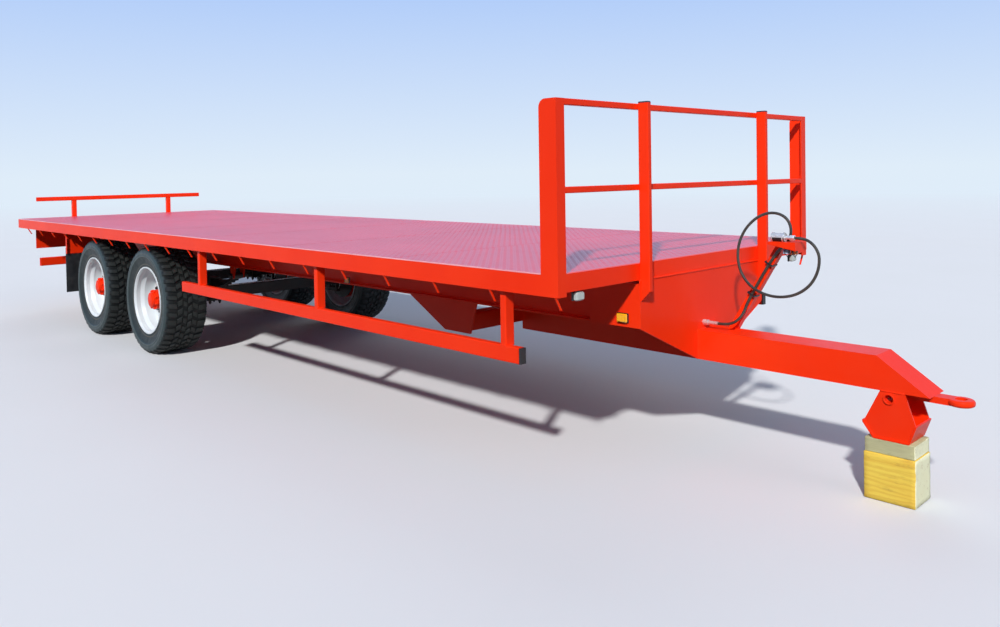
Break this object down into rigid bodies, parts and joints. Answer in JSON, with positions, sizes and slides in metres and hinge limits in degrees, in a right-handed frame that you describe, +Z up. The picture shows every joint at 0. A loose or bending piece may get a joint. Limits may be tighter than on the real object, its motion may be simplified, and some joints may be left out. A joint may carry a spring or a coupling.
{
  "type": "flatbed trailer",
  "caption": "Flat-deck farm trailer with a tubular headboard, box drawbar with tow eye and parking skid on timber, and free-turning wheels on leaf springs.",
  "frame": {"origin": "on the ground, below the middle of the overall box", "axes": "+X forward to the tow eye, +Y to the trailer's left, +Z up"},
  "size_m": [10.011, 2.44, 1.893],
  "materials": {
    "red_paint": "gloss",
    "deck_paint": "satin, chequer pattern",
    "white_paint": "gloss",
    "black_paint": "satin",
    "tyre": "matte",
    "rubber": "satin",
    "bright_steel": "plated",
    "black_plastic": "satin",
    "amber_lens": "gloss",
    "white_lens": "gloss",
    "red_lens": "gloss",
    "timber": "raw"
  },
  "bodies": {
    "chassis": {"axles": "black_paint", "bale_posts": "red_paint", "bale_rail": "red_paint", "brake_levers": "black_paint", "brake_rams": "black_paint", "bulkhead_gussets": "red_paint", "bulkhead_plate": "red_paint", "bumper_legs": "red_paint", "corner_posts": "red_paint", "coupling_bracket": "red_paint", "cross_members": "red_paint", "deck_plate": "deck_paint", "drawbar": "red_paint", "drawbar_cross_tube": "red_paint", "drawbar_hangers": "red_paint", "end_caps": "black_plastic", "flap_brackets": "red_paint", "front_beam": "red_paint", "front_lamps": "white_lens", "guard_legs": "red_paint", "guard_rails": "red_paint", "headboard_rails": "red_paint", "hose": "rubber", "hose_clips": "black_plastic", "hose_coupling": "bright_steel", "hose_fitting": "bright_steel", "hose_stand": "red_paint", "leaf_springs": "black_paint", "main_beams": "red_paint", "mudflaps": "rubber", "rear_beam": "red_paint", "rear_bumper": "red_paint", "rear_lamps": "red_lens", "rear_valance": "red_paint", "rope_hooks": "red_paint", "side_lamps": "amber_lens", "side_rails": "red_paint", "skid_cheeks": "red_paint", "skid_shoe": "red_paint", "skid_tube": "red_paint", "spring_clamps": "black_paint", "spring_hangers": "red_paint", "spring_rockers": "black_paint", "timber_block": "timber", "timber_plank": "timber", "tow_eye": "red_paint", "uprights": "red_paint"},
    "wheel_front_left": {"tyre_front_left": "tyre", "rim_front_left": "white_paint", "hub_front_left": "red_paint"},
    "wheel_front_right": {"tyre_front_right": "tyre", "rim_front_right": "white_paint", "hub_front_right": "red_paint"},
    "wheel_rear_left": {"tyre_rear_left": "tyre", "rim_rear_left": "white_paint", "hub_rear_left": "red_paint"},
    "wheel_rear_right": {"tyre_rear_right": "tyre", "rim_rear_right": "white_paint", "hub_rear_right": "red_paint"}
  },
  "joints": [
    {"name": "wheel_front_left_spin", "type": "hinge", "parent": "chassis", "child": "wheel_front_left", "pos_m": [-1.2455, 0.9925, 0.47], "axis": [0, 1, 0], "continuous": true},
    {"name": "wheel_front_right_spin", "type": "hinge", "parent": "chassis", "child": "wheel_front_right", "pos_m": [-1.2455, -0.9925, 0.47], "axis": [0, 1, 0], "continuous": true},
    {"name": "wheel_rear_left_spin", "type": "hinge", "parent": "chassis", "child": "wheel_rear_left", "pos_m": [-2.5765, 0.9925, 0.47], "axis": [0, 1, 0], "continuous": true},
    {"name": "wheel_rear_right_spin", "type": "hinge", "parent": "chassis", "child": "wheel_rear_right", "pos_m": [-2.5765, -0.9925, 0.47], "axis": [0, 1, 0], "continuous": true}
  ]
}
